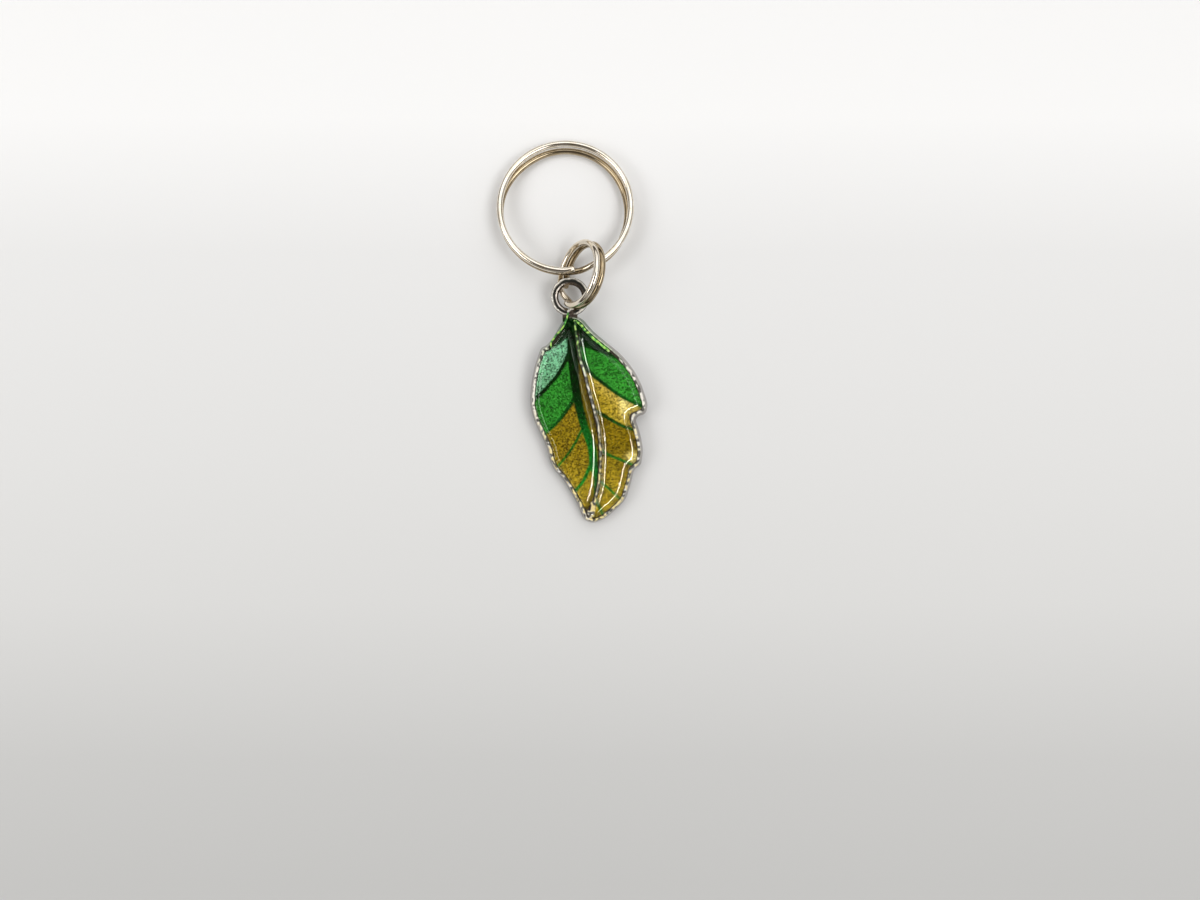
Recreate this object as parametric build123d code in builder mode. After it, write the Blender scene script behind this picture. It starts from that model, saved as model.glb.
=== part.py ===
from build123d import *
import os
from math import cos, pi, radians, sin, tan

# A stitch marker lying on a table: a large split ring that slides over the needle,
# a small split ring linked through it, and a leaf charm whose eye hangs on the small ring.
# Millimetres, +Z up, origin at the centre of the needle ring.

# Wire of both rings, whose round section is drawn with a number of flats
wire_diameter = 0.64
wire_sides = 12
turn_gap = 0.04
end_gap = 0.25
end_bevel = 0.12
gap_samples = 160

# Needle ring, whose lower turn runs on a smaller circle that touches the upper one at the jog
needle_ring_outer = 14.0
needle_ring_tilt = 6.38
needle_jog_angle = -79.0
needle_jog_length = 2.1
needle_turn_spread = 0.25

# Link ring
link_ring_outer = 7.0
link_lean = 54.94
link_turn = 10.46
link_jog_angle = 125.0
link_jog_length = 1.9
link_shift_x = 1.631
link_shift_y = 0.483
link_rise = 1.038

# Eye of the charm
eye_hole = 2.36
eye_outer = 3.96
eye_height = 0.66
eye_section_shares = (
    (0.031, -0.187),
    (0.249, -0.452),
    (0.404, -0.500),
    (0.596, -0.500),
    (0.751, -0.452),
    (0.969, -0.187),
    (0.969, 0.187),
    (0.751, 0.452),
    (0.600, 0.500),
    (0.520, 0.330),
    (0.400, 0.380),
    (0.220, 0.330),
    (0.031, 0.100),
)
eye_shift_x = 1.130
eye_shift_y = 2.037
eye_drop = 1.380
charm_tilt = 3.82

# Leaf casting
leaf_length = 21.1
leaf_width = 12.0
casting_height = 1.2
floor_thickness = 0.5
wall_draft = 13.0
rim_width = 0.32
midrib_width = 0.34
neck_width = 1.5
neck_height = 0.9
neck_length = 0.66
eye_sink = 0.16

# Filling of the two cells
fill_gap = 0.015
print_thickness = 0.12
dome_edge = 0.15
dome_crown = 0.34
dome_shoulder = 0.30
dome_room_share = 0.9
dome_steps = 3

# Corners of the leaf outline at the back, from the neck down the left side to the tip and then up
# the right side, as shares of the leaf's width and length from under the eye and from the tip
left_outline_shares = (
    (-0.030, 1.004),
    (-0.145, 0.893),
    (-0.196, 0.856),
    (-0.250, 0.843),
    (-0.300, 0.765),
    (-0.338, 0.665),
    (-0.348, 0.561),
    (-0.303, 0.475),
    (-0.240, 0.404),
    (-0.198, 0.347),
    (-0.180, 0.290),
    (-0.132, 0.240),
    (-0.078, 0.213),
    (-0.007, 0.146),
    (0.060, 0.079),
)
tip_share = (0.112, 0.002)
right_outline_shares = (
    (0.196, -0.016),
    (0.300, 0.010),
    (0.404, 0.060),
    (0.478, 0.105),
    (0.525, 0.195),
    (0.545, 0.250),
    (0.605, 0.272),
    (0.625, 0.345),
    (0.596, 0.432),
    (0.550, 0.505),
    (0.650, 0.524),
    (0.662, 0.570),
    (0.606, 0.669),
    (0.530, 0.747),
    (0.428, 0.814),
    (0.311, 0.868),
    (0.203, 0.916),
    (0.092, 0.990),
)
outline_corner_share = 0.42
midrib_shares = (
    (0.058, 0.885),
    (0.081, 0.792),
    (0.128, 0.713),
    (0.160, 0.629),
    (0.206, 0.540),
    (0.242, 0.450),
    (0.257, 0.356),
    (0.256, 0.276),
    (0.243, 0.186),
    (0.212, 0.110),
)

# Worked out from the sizes above
wire_radius = wire_diameter / 2
layer_offset = (wire_diameter + turn_gap) / 2
needle_radius = needle_ring_outer / 2 - wire_radius
link_radius = link_ring_outer / 2 - wire_radius
eye_to_tip = leaf_length + eye_outer / 2 - eye_sink
eye_rim_width = (eye_outer - eye_hole) / 2

needle_normal = Vector(0, sin(radians(needle_ring_tilt)), cos(radians(needle_ring_tilt)))
needle_plane = Plane(origin=(0, 0, 0), x_dir=(1, 0, 0), z_dir=needle_normal)
near_wire = needle_plane.from_local_coords(Vector(0, -needle_radius, 0))

link_normal = Vector(
    -sin(radians(link_lean)) * cos(radians(link_turn)),
    sin(radians(link_lean)) * sin(radians(link_turn)),
    cos(radians(link_lean)),
)
link_centre = near_wire + Vector(link_shift_x, -link_shift_y, link_rise)
link_plane = Plane(origin=link_centre, x_dir=Vector(0, 1, 0).cross(link_normal), z_dir=link_normal)

charm_normal = Vector(0, -sin(radians(charm_tilt)), cos(radians(charm_tilt)))
eye_centre = link_centre - Vector(eye_shift_x, eye_shift_y, eye_drop)
charm_plane = Plane(origin=eye_centre - charm_normal * (eye_height / 2), x_dir=(1, 0, 0), z_dir=charm_normal)


def charm_level(height):
    """Plane parallel to the charm's back, at a height above it."""
    return charm_plane.offset(height)


def leaf_points(shares):
    """Points of the leaf on the charm's plane, whose origin is under the middle of the eye."""
    return [(x * leaf_width, y * leaf_length - eye_to_tip) for x, y in shares]


def inset_points(points, distances):
    """Corners of an anticlockwise outline whose runs, from each corner to the next, move inward."""
    corners = [Vector(x, y) for x, y in points]
    runs = [(after - here).normalized() for here, after in zip(corners, corners[1:] + corners[:1])]
    inward = [Vector(-run.Y, run.X) for run in runs]
    moved = []
    for index, corner in enumerate(corners):
        first, second = inward[index - 1], inward[index]
        near, far = distances[index - 1], distances[index]
        turn = first.X * second.Y - first.Y * second.X
        step_x = (near * second.Y - far * first.Y) / turn
        step_y = (far * first.X - near * second.X) / turn
        moved.append((corner.X + step_x, corner.Y + step_y))
    return moved


def rounded_line(points):
    """Closed line of straight runs joined by arcs, each taking up most of its shorter run."""
    corners = [Vector(x, y) for x, y in points]
    radii = []
    for before, here, after in zip(corners[-1:] + corners[:-1], corners, corners[1:] + corners[:1]):
        shorter = min((here - before).length, (after - here).length)
        half_turn = radians((here - before).get_angle(after - here)) / 2
        radii.append(outline_corner_share * shorter / tan(half_turn))
    return FilletPolyline(*points, radius=radii, close=True)


def least_turn_gap(line):
    """Least gap between the two turns of a wound wire, measured between points along it."""
    shares = [index / gap_samples for index in range(gap_samples + 1)]
    points = [line @ share for share in shares]
    pairs = [
        (first - second).length
        for index, first in enumerate(points)
        for second in points[index + gap_samples // 4 :]
    ]
    return min(pairs) - wire_diameter


def split_ring(plane, radius, jog_angle, jog_length, hand, spread=0):
    """Two flat turns of one wire, joined by a jog between its two ends."""
    jog = jog_length / radius
    gap = end_gap / radius
    start = radians(jog_angle) + jog + gap
    foot = radians(jog_angle) + 2 * pi
    top = foot + jog
    finish = foot + 2 * pi - gap

    def point(angle, height, shift=0):
        across = (radius - shift) * cos(angle) + shift * cos(foot)
        up = (radius - shift) * sin(angle) + shift * sin(foot)
        return plane.from_local_coords(Vector(across, hand * up, height))

    def direction(angle):
        return plane.x_dir * -sin(angle) + plane.y_dir * hand * cos(angle)

    def turn(first, last, height, shift=0):
        return [point(angle, height, shift) for angle in (first, (first + last) / 2, last)]

    lower_middle = (start + foot) / 2
    upper_middle = (top + finish) / 2
    jog_start = point(foot, -layer_offset)
    jog_end = point(top, layer_offset)
    leave = direction(foot)
    arrive = direction(top)
    chord = jog_end - jog_start
    both = leave + arrive
    square = 2 * (1 - leave.dot(arrive))
    reach = (-chord.dot(both) + (chord.dot(both) ** 2 + square * chord.dot(chord)) ** 0.5) / square
    halfway = (jog_start + leave * reach + jog_end - arrive * reach) * 0.5

    with BuildPart() as ring:
        with BuildLine() as wire:
            ThreePointArc(*turn(start, lower_middle, -layer_offset, spread))
            ThreePointArc(*turn(lower_middle, foot, -layer_offset, spread))
            rise = TangentArc(jog_start, halfway, tangent=leave)
            TangentArc(halfway, jog_end, tangent=rise % 1)
            ThreePointArc(*turn(top, upper_middle, layer_offset))
            ThreePointArc(*turn(upper_middle, finish, layer_offset))
        with BuildSketch(Plane(origin=wire.line @ 0, x_dir=plane.z_dir, z_dir=wire.line % 0)):
            RegularPolygon(wire_radius, wire_sides, rotation=180 / wire_sides)
        sweep(path=wire.line)
        for end in (0, 1):
            end_face = ring.faces().sort_by_distance(wire.line @ end)[0]
            chamfer(end_face.edges(), length=end_bevel)
    print(f"least gap between the turns: {least_turn_gap(wire.line):.3f} mm")
    return ring


os.makedirs("parts", exist_ok=True)

# Needle ring
needle_ring = split_ring(
    needle_plane, needle_radius, needle_jog_angle, needle_jog_length, 1, spread=needle_turn_spread
)
needle_ring.part.label = "needle_ring"
export_step(needle_ring.part, "parts/needle_ring.step")

# Link ring, wound the other way
link_ring = split_ring(link_plane, link_radius, link_jog_angle, link_jog_length, -1)
link_ring.part.label = "link_ring"
export_step(link_ring.part, "parts/link_ring.step")

# Outlines of the leaf at its back and at its rim, and of the two cells between rim and midrib
draft_inset = casting_height * tan(radians(wall_draft))
left_points = leaf_points(left_outline_shares)
tip_point = leaf_points([tip_share])
right_points = leaf_points(right_outline_shares)
back_points = left_points + tip_point + right_points
rim_points = inset_points(back_points, [draft_inset] * len(back_points))
midrib_points = leaf_points(midrib_shares)


def cell_points(side, gap):
    """Corners of a cell: along the rim on the outer side and along the midrib on the inner side."""
    outer = left_points + tip_point if side == "left" else tip_point + right_points
    inner = midrib_points[::-1] if side == "left" else midrib_points
    along_rim = [draft_inset + rim_width + gap] * (len(outer) - 1)
    along_midrib = [midrib_width / 2 + gap] * (len(inner) + 1)
    return inset_points(outer + inner, along_rim + along_midrib)


def run_lengths(points):
    """Lengths of the runs between the corners of a closed outline."""
    corners = [Vector(x, y) for x, y in points]
    return [(after - here).length for here, after in zip(corners, corners[1:] + corners[:1])]


def shoulder_of(side):
    """Width of a dome's rounded shoulder, limited by the shortest run that it narrows."""
    wall = run_lengths(cell_points(side, fill_gap))
    moved = run_lengths(cell_points(side, fill_gap + fill_gap))
    room = [fill_gap * before / (before - after) for before, after in zip(wall, moved) if after < before]
    return min([dome_shoulder] + [dome_room_share * step for step in room])


# Leaf casting: drafted tray with a raised rim and midrib, a neck and an eye
with BuildPart() as leaf_casting:
    with BuildSketch(charm_level(0)):
        with BuildLine():
            rounded_line(back_points)
        make_face()
    with BuildSketch(charm_level(casting_height)):
        with BuildLine():
            rounded_line(rim_points)
        make_face()
    loft(ruled=True)
    with BuildSketch(charm_level(floor_thickness)):
        for side in ("left", "right"):
            with BuildLine():
                rounded_line(cell_points(side, 0))
            make_face()
    extrude(amount=casting_height, mode=Mode.SUBTRACT)
    with BuildSketch(charm_level(0)):
        with Locations((0, eye_sink - eye_outer / 2)):
            Rectangle(neck_width, neck_length, align=(Align.CENTER, Align.MAX))
    extrude(amount=neck_height)
    eye_middle = charm_level(eye_height / 2)
    eye_section = [(eye_hole / 2 + x * eye_rim_width, y * eye_height) for x, y in eye_section_shares]
    with BuildSketch(Plane(origin=eye_middle.origin, x_dir=(1, 0, 0), z_dir=-eye_middle.y_dir)):
        with BuildLine():
            Polyline(*eye_section, close=True)
        make_face()
    revolve(axis=Axis(eye_middle.origin, eye_middle.z_dir))
    with BuildSketch(charm_level(0)):
        Circle(eye_hole / 2)
    extrude(amount=neck_height, mode=Mode.SUBTRACT)

leaf_casting.part.label = "leaf_casting"
export_step(leaf_casting.part, "parts/leaf_casting.step")

# Printed layer and clear dome of each cell
print_level = floor_thickness + fill_gap
dome_level = print_level + print_thickness + fill_gap
for side in ("left", "right"):
    with BuildPart() as print_layer:
        with BuildSketch(charm_level(print_level)):
            with BuildLine():
                rounded_line(cell_points(side, fill_gap))
            make_face()
        extrude(amount=print_thickness)
    print_layer.part.label = f"print_{side}"
    export_step(print_layer.part, f"parts/print_{side}.step")

    with BuildPart() as dome:
        with BuildSketch(charm_level(dome_level)):
            with BuildLine():
                rounded_line(cell_points(side, fill_gap))
            make_face()
        for step in range(dome_steps + 1):
            bend = pi / 2 * step / dome_steps
            level = casting_height - dome_edge + (dome_edge + dome_crown) * sin(bend)
            shoulder = shoulder_of(side) * (1 - cos(bend))
            with BuildSketch(charm_level(level)):
                with BuildLine():
                    rounded_line(cell_points(side, fill_gap + shoulder))
                make_face()
        loft(ruled=True)
    dome.part.label = f"dome_{side}"
    export_step(dome.part, f"parts/dome_{side}.step")
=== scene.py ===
"""Looks of a stitch marker: two split rings and a leaf charm with printed cells under clear resin.

Lengths in the fields are millimetres, unless they say metres. Meshes are written in metres, in the
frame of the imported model. Colours are scene-linear.
"""

import logging
from dataclasses import dataclass
from enum import Enum
from functools import cached_property
from math import copysign, cos, exp, inf, pi, radians, sin

import bmesh
import bpy
from bpy.types import ID, Material, Node, NodeOutputs, NodeSocket, NodeTree, Object, ShaderNodeTree
from mathutils import Matrix, Vector, noise
from mathutils.geometry import delaunay_2d_cdt
from mathutils.kdtree import KDTree


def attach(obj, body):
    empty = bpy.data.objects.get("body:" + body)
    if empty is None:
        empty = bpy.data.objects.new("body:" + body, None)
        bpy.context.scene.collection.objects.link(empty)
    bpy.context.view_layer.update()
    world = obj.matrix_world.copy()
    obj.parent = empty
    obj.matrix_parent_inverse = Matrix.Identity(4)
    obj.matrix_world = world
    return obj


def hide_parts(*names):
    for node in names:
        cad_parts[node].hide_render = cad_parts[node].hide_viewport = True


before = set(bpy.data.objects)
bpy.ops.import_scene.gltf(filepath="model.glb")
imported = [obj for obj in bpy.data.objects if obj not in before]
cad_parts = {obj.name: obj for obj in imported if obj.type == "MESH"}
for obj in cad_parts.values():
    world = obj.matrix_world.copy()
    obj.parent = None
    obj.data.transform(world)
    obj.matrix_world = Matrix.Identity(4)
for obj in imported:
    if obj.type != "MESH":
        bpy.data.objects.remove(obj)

LOG = logging.getLogger("stitch_marker")
MM = 0.001
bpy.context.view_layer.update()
Point2 = tuple[float, float]
Point3 = tuple[float, float, float]
Colour = tuple[float, float, float]
Line = tuple[Point2, ...]
Face = tuple[int, ...]
Points = list[Vector]
Stops = tuple[tuple[float, Colour], ...]
WHITE: Colour = (1.0, 1.0, 1.0)


# Colours, lines and meshes


def linear(red: int, green: int, blue: int) -> Colour:
    """Turns a screen colour, whose parts go from 0 to 255, into scene-linear values."""
    values = (red / 255, green / 255, blue / 255)
    return tuple(v / 12.92 if v <= 0.04045 else ((v + 0.055) / 1.055) ** 2.4 for v in values)


def blend(first: Colour, second: Colour, share: float) -> Colour:
    """Mixes two colours, from the first at 0 to the second at 1."""
    return tuple(a + (b - a) * share for a, b in zip(first, second))


def soft_step(low: float, high: float, value: float) -> float:
    """Goes smoothly from 0 at low to 1 at high, and low may be the greater one."""
    share = min(max((value - low) / (high - low), 0.0), 1.0)
    return share * share * (3 - 2 * share)


def noise_at(spot: Vector, layer: float, scale: float) -> float:
    """Smooth noise from about -1 to 1 at a flat place, with a pattern of its own for each layer."""
    return noise.noise(Vector((spot.x, spot.y, layer)) * scale)


def from_run(spot: Vector, start: Vector, end: Vector, low: float = 0, high: float = 1) -> tuple[float, Vector]:
    """Finds the shortest way from a straight run to a spot.

    Args:
        spot: Flat place.
        start: Start of the run.
        end: End of the run.
        low: Least share of the run that counts.
        high: Greatest share of the run that counts.

    Returns:
        The share of the run where it is nearest, and the way from there to the spot.
    """
    run = end - start
    share = min(max((spot - start).dot(run) / run.length_squared, low), high)
    return share, spot - start - run * share


def run_lengths(chain: Points) -> list[float]:
    """Lengths of the straight runs between a line's corners."""
    return [(b - a).length for a, b in zip(chain, chain[1:])]


def resample(points: Points, step: float, closed: bool) -> Points:
    """Spaces points evenly along a line.

    Args:
        points: Corners of the line.
        step: Wanted spacing.
        closed: Whether the last point joins the first.

    Returns:
        The new points.
    """
    chain = points + points[:1] if closed else points
    lengths = run_lengths(chain)
    count = max(3, round(sum(lengths) / step))
    spacing = sum(lengths) / count
    result: Points = []
    travelled, index = 0.0, 0
    for number in range(count if closed else count + 1):
        target = number * spacing
        while index < len(lengths) - 1 and travelled + lengths[index] < target:
            travelled += lengths[index]
            index += 1
        share = min((target - travelled) / lengths[index], 1.0)
        result.append(chain[index].lerp(chain[index + 1], share))
    return result


def smoothed(points: Points, rounds: int, closed: bool) -> Points:
    """Averages each point of a line with its neighbours.

    Args:
        points: Corners of the line.
        rounds: How many times.
        closed: Whether the last point joins the first.

    Returns:
        The new points.
    """
    for _ in range(rounds):
        before = points[-1:] + points[:-1]
        after = points[1:] + points[:1]
        eased = [(a + b * 2 + c) / 4 for a, b, c in zip(before, points, after)]
        points = eased if closed else points[:1] + eased[1:-1] + points[-1:]
    return points


def moved_inward(points: Points, distance: float) -> Points:
    """Moves a closed line towards its inner side.

    Args:
        points: Anticlockwise corners.
        distance: How far they go.

    Returns:
        The new points.
    """
    before = points[-1:] + points[:-1]
    after = points[1:] + points[:1]
    moved = []
    for a, b, c in zip(before, points, after):
        along = (c - a).normalized()
        moved.append(b + Vector((-along.y, along.x)) * distance)
    return moved


def band_faces(rows: int, width: int, closed: bool) -> list[Face]:
    """Joins rows of points with four-cornered faces.

    Args:
        rows: Number of rows.
        width: Points in each row.
        closed: Whether each row is a ring.

    Returns:
        The faces.
    """
    faces: list[Face] = []
    for near in range(0, (rows - 1) * width, width):
        for k in range(width if closed else width - 1):
            after = (k + 1) % width
            faces.append((near + k, near + after, near + width + after, near + width + k))
    return faces


def placed(name: str, data: ID) -> Object:
    """Makes an object and links it to the scene.

    Args:
        name: Its name.
        data: Its mesh, lamp or camera.

    Returns:
        The object.
    """
    made = bpy.data.objects.new(name, data)
    bpy.context.scene.collection.objects.link(made)
    return made


def mesh_piece(name: str, verts: Points, faces: list[Face], body: str) -> Object:
    """Makes a smooth-shaded piece that rides on a body.

    Args:
        name: Name of the piece.
        verts: Corners in metres.
        faces: Corner numbers of each face.
        body: Body that it moves with.

    Returns:
        The new object.
    """
    mesh = bpy.data.meshes.new(name)
    mesh.from_pydata([tuple(v) for v in verts], [], faces)
    shell = bmesh.new()
    shell.from_mesh(mesh)
    bmesh.ops.recalc_face_normals(shell, faces=shell.faces)
    shell.to_mesh(mesh)
    shell.free()
    mesh.shade_smooth()
    piece = placed(name, mesh)
    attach(piece, body)
    LOG.info("%s: %d faces on %s", name, len(mesh.polygons), body)
    return piece


def write_colours(piece: Object, name: str, colours: list[Colour]) -> None:
    """Writes colours on a piece, for its finish to read.

    Args:
        piece: The piece.
        name: Name of the attribute.
        colours: One colour for each point.
    """
    layer = piece.data.color_attributes.new(name, "FLOAT_COLOR", "POINT")
    for item, colour in zip(layer.data, colours):
        item.color = (*colour, 1.0)


# Shader building


def put(node: Node, values: dict[str | int, object]) -> None:
    """Sets constants on a node's inputs, by name or number."""
    for name, value in values.items():
        node.inputs[name].default_value = value


class Graph:
    """A node tree that is filled step by step."""

    def __init__(self, tree: NodeTree) -> None:
        """Empties the tree and keeps it."""
        self.tree = tree
        tree.nodes.clear()

    def add(self, kind: str, **settings: object) -> Node:
        """Adds a node.

        Args:
            kind: Its type.
            **settings: Its properties.

        Returns:
            The node.
        """
        node = self.tree.nodes.new(kind)
        for name, value in settings.items():
            setattr(node, name, value)
        return node

    def link(self, source: NodeSocket, target: NodeSocket) -> None:
        """Joins an output to an input."""
        self.tree.links.new(source, target)

    def feed(self, value: object, target: NodeSocket) -> None:
        """Joins an output to an input, or sets a constant on it.

        Args:
            value: Socket, number or colour.
            target: The input.
        """
        if isinstance(value, NodeSocket):
            self.link(value, target)
        else:
            target.default_value = (*value, 1.0) if isinstance(value, tuple) else value

    def math(
        self, operation: str, first: object, second: object = 0.5, third: object = 0.5, clamp: bool = False
    ) -> NodeSocket:
        """Adds a Math node.

        Args:
            operation: Name of the operation.
            first: Socket or number.
            second: Socket or number.
            third: Socket or number, where the operation has three.
            clamp: Whether the result stays between 0 and 1.

        Returns:
            The output socket.
        """
        node = self.add("ShaderNodeMath", operation=operation, use_clamp=clamp)
        for socket, value in zip(node.inputs, (first, second, third)):
            self.feed(value, socket)
        return node.outputs[0]

    def mix(self, share: object, first: object, second: object, mode: str = "MIX") -> NodeSocket:
        """Adds a colour mix.

        Args:
            share: Socket or number, 0 for the first colour and 1 for the second.
            first: Socket or colour.
            second: Socket or colour.
            mode: Blend type.

        Returns:
            The output socket.
        """
        node = self.add("ShaderNodeMix", data_type="RGBA", blend_type=mode)
        for number, value in ((0, share), (6, first), (7, second)):
            self.feed(value, node.inputs[number])
        return node.outputs[2]

    def ramp(self, value: NodeSocket, stops: Stops) -> NodeSocket:
        """Adds a colour ramp.

        Args:
            value: Where the ramp is read.
            stops: Its places and colours.

        Returns:
            The output socket.
        """
        node = self.add("ShaderNodeValToRGB")
        elements = node.color_ramp.elements
        while len(elements) < len(stops):
            elements.new(0.5)
        for element, (position, colour) in zip(elements, stops):
            element.position = position
            element.color = (*colour, 1.0)
        self.link(value, node.inputs[0])
        return node.outputs[0]

    def parts(self, output: str) -> NodeOutputs:
        """Splits one of the texture coordinates.

        Args:
            output: Which one.

        Returns:
            Its three numbers.
        """
        split = self.add("ShaderNodeSeparateXYZ")
        self.link(self.add("ShaderNodeTexCoord").outputs[output], split.inputs[0])
        return split.outputs


class Surface(Graph):
    """A new material with one Principled shader."""

    def __init__(self, name: str, values: dict[str | int, object]) -> None:
        """Makes the material.

        Args:
            name: Its name.
            values: Constants of its shader.
        """
        self.material = bpy.data.materials.new(name)
        self.material.use_nodes = True
        super().__init__(self.material.node_tree)
        self.out = self.add("ShaderNodeOutputMaterial")
        self.shader = self.add("ShaderNodeBsdfPrincipled")
        put(self.shader, values)
        self.link(self.shader.outputs[0], self.out.inputs[0])

    def drive(self, name: str, source: NodeSocket) -> None:
        """Lets an output drive one of the shader's inputs."""
        self.link(source, self.shader.inputs[name])

    def written(self, name: str) -> NodeSocket:
        """Colour that write_colours has put on the piece."""
        return self.add("ShaderNodeAttribute", attribute_name=name).outputs["Color"]

    def bump(self, height: NodeSocket, strength: float, distance: float) -> None:
        """Lets a height bend the surface's normal.

        Args:
            height: The height.
            strength: Share of the effect.
            distance: Depth of the relief in metres.
        """
        node = self.add("ShaderNodeBump")
        put(node, {"Strength": strength, "Distance": distance})
        self.link(height, node.inputs["Height"])
        self.drive("Normal", node.outputs[0])


class Effect(Enum):
    """Shader groups that several materials share."""

    GRAIN = "fine_grain"
    CAST = "cast_skin"


def effect_tree(effect: Effect) -> ShaderNodeTree:
    """Builds one of the shared groups, or returns it if it is there.

    Args:
        effect: Which group.

    Returns:
        The group's node tree.
    """
    existing = bpy.data.node_groups.get(effect.value)
    if existing:
        return existing
    tree = bpy.data.node_groups.new(effect.value, "ShaderNodeTree")
    graph = Graph(tree)
    for name, value in (("Scale", 1000.0), ("Amount", 0.2)):
        tree.interface.new_socket(name, in_out="INPUT", socket_type="NodeSocketFloat").default_value = value
    for name in ("Mask", "Height"):
        tree.interface.new_socket(name, in_out="OUTPUT", socket_type="NodeSocketFloat")
    entry = graph.add("NodeGroupInput")
    leave = graph.add("NodeGroupOutput")
    place = graph.add("ShaderNodeTexCoord")
    if effect is Effect.GRAIN:
        texture = graph.add("ShaderNodeTexVoronoi", voronoi_dimensions="3D", feature="F1")
        split = graph.add("ShaderNodeSeparateColor")
        graph.link(texture.outputs["Color"], split.inputs[0])
        tone, height = split.outputs[0], split.outputs[1]
    else:
        texture = graph.add("ShaderNodeTexNoise", noise_dimensions="3D")
        put(texture, {"Detail": 3.0})
        tone = height = texture.outputs[0]
    graph.link(place.outputs["Object"], texture.inputs["Vector"])
    graph.link(entry.outputs["Scale"], texture.inputs["Scale"])
    spread = graph.math("MULTIPLY", graph.math("SUBTRACT", tone, 0.5), entry.outputs["Amount"])
    graph.link(graph.math("ADD", spread, 1.0), leave.inputs["Mask"])
    graph.link(height, leave.inputs["Height"])
    return tree


def use_effect(graph: Graph, effect: Effect, scale: float, amount: float) -> NodeOutputs:
    """Places a shared group in a material.

    Args:
        graph: The material's graph.
        effect: Which group.
        scale: Fineness, per metre.
        amount: How far the mask goes away from 1.

    Returns:
        The group's outputs, Mask and Height.
    """
    node = graph.add("ShaderNodeGroup", node_tree=effect_tree(effect))
    put(node, {"Scale": scale, "Amount": amount})
    return node.outputs


# Finishes


@dataclass(frozen=True)
class PlatedMetal:
    """Plated metal, uneven in tone and grainy where it is left raised.

    The grain's depth is in metres and the scales are per metre. One whose written colours are used is
    multiplied by the colours written on the piece, which hold its own colour and also painted shade and
    painted dark reflections. Green glitter starts at green_from, a Y in metres, if it isn't 0.
    """

    name: str
    colour: Colour
    deep: Colour
    roughness: float
    grain_scale: float
    grain_depth: float
    grain_strength: float
    tinted_and_shaded: bool = False
    green_from: float = 0.0
    metallic: float = 1.0
    grain_amount: float = 0.8
    tone_scale: float = 1100.0
    tone_amount: float = 1.5
    tone_floor: float = 0.5

    def material(self) -> Material:
        """Builds the material, with its tint from the piece where it has one.

        Returns:
            The material.
        """
        surface = Surface(self.name, {"Metallic": self.metallic})
        tone = use_effect(surface, Effect.CAST, self.tone_scale, self.tone_amount)
        share = surface.math("SUBTRACT", tone["Mask"], self.tone_floor, clamp=True)
        colour = surface.mix(share, self.colour, self.deep)
        if self.tinted_and_shaded:
            # Written colours: real colour, with painted shade and painted dark reflections.
            colour = surface.mix(1.0, colour, surface.written("tint_and_painted_shade"), "MULTIPLY")
        if self.green_from:
            colour = self.greened(surface, colour)
        surface.drive("Base Color", colour)
        grain = use_effect(surface, Effect.CAST, self.grain_scale, self.grain_amount)
        surface.drive("Roughness", surface.math("MULTIPLY", grain["Mask"], self.roughness))
        surface.bump(grain["Height"], self.grain_strength, self.grain_depth)
        return surface.material

    def greened(self, surface: Surface, colour: NodeSocket) -> NodeSocket:
        """Lays dark green glitter over the skin, up to the neck. Its lengths are in metres.

        Args:
            surface: The material.
            colour: Colour of the bare skin.

        Returns:
            The new colour.
        """
        neck_y, lower_fade, upper_fade, wander = -0.0112, 0.0022, 0.0003, 0.006
        y = surface.parts("Object")[1]
        cloud = use_effect(surface, Effect.CAST, 900.0, 1.0)
        stray = surface.math("MULTIPLY", surface.math("SUBTRACT", cloud["Mask"], 1.0), wander)
        risen = surface.math("ADD", surface.math("SUBTRACT", y, self.green_from), stray)
        lower = surface.math("DIVIDE", risen, lower_fade, clamp=True)
        upper = surface.math("DIVIDE", surface.math("SUBTRACT", neck_y, y), upper_fade, clamp=True)
        speck = use_effect(surface, Effect.GRAIN, 6000.0, 1.0)
        glint = surface.math("SUBTRACT", speck["Height"], 0.55, clamp=True)
        green = surface.mix(glint, linear(22, 84, 30), linear(150, 225, 150))
        return surface.mix(surface.math("MULTIPLY", lower, upper), colour, green)


@dataclass(frozen=True)
class GlitterPrint:
    """Printed colour with a fine glitter, taken from the piece's own paint.

    The strength is below 1 because the gleam lamps also light the print, through the resin.
    """

    name: str = "glitter_print"
    strength: float = 0.54
    grain_scale: float = 7600.0
    grain_amount: float = 1.6
    cloud_scale: float = 1600.0
    cloud_amount: float = 0.25
    flake: float = 0.35

    def material(self) -> Material:
        """Builds the material.

        Returns:
            The material.
        """
        surface = Surface(self.name, {"Roughness": 0.5, "Specular IOR Level": 0.0})
        fine = use_effect(surface, Effect.GRAIN, self.grain_scale, self.grain_amount)
        cloud = use_effect(surface, Effect.CAST, self.cloud_scale, self.cloud_amount)
        level = surface.math("MULTIPLY", fine["Mask"], cloud["Mask"])
        level = surface.math("MULTIPLY", level, self.strength)
        grey = surface.add("ShaderNodeCombineColor")
        for socket in grey.inputs:
            surface.link(level, socket)
        surface.drive("Base Color", surface.mix(1.0, surface.written("paint"), grey.outputs[0], "MULTIPLY"))
        surface.drive("Metallic", surface.math("MULTIPLY", fine["Height"], self.flake))
        return surface.material


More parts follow.
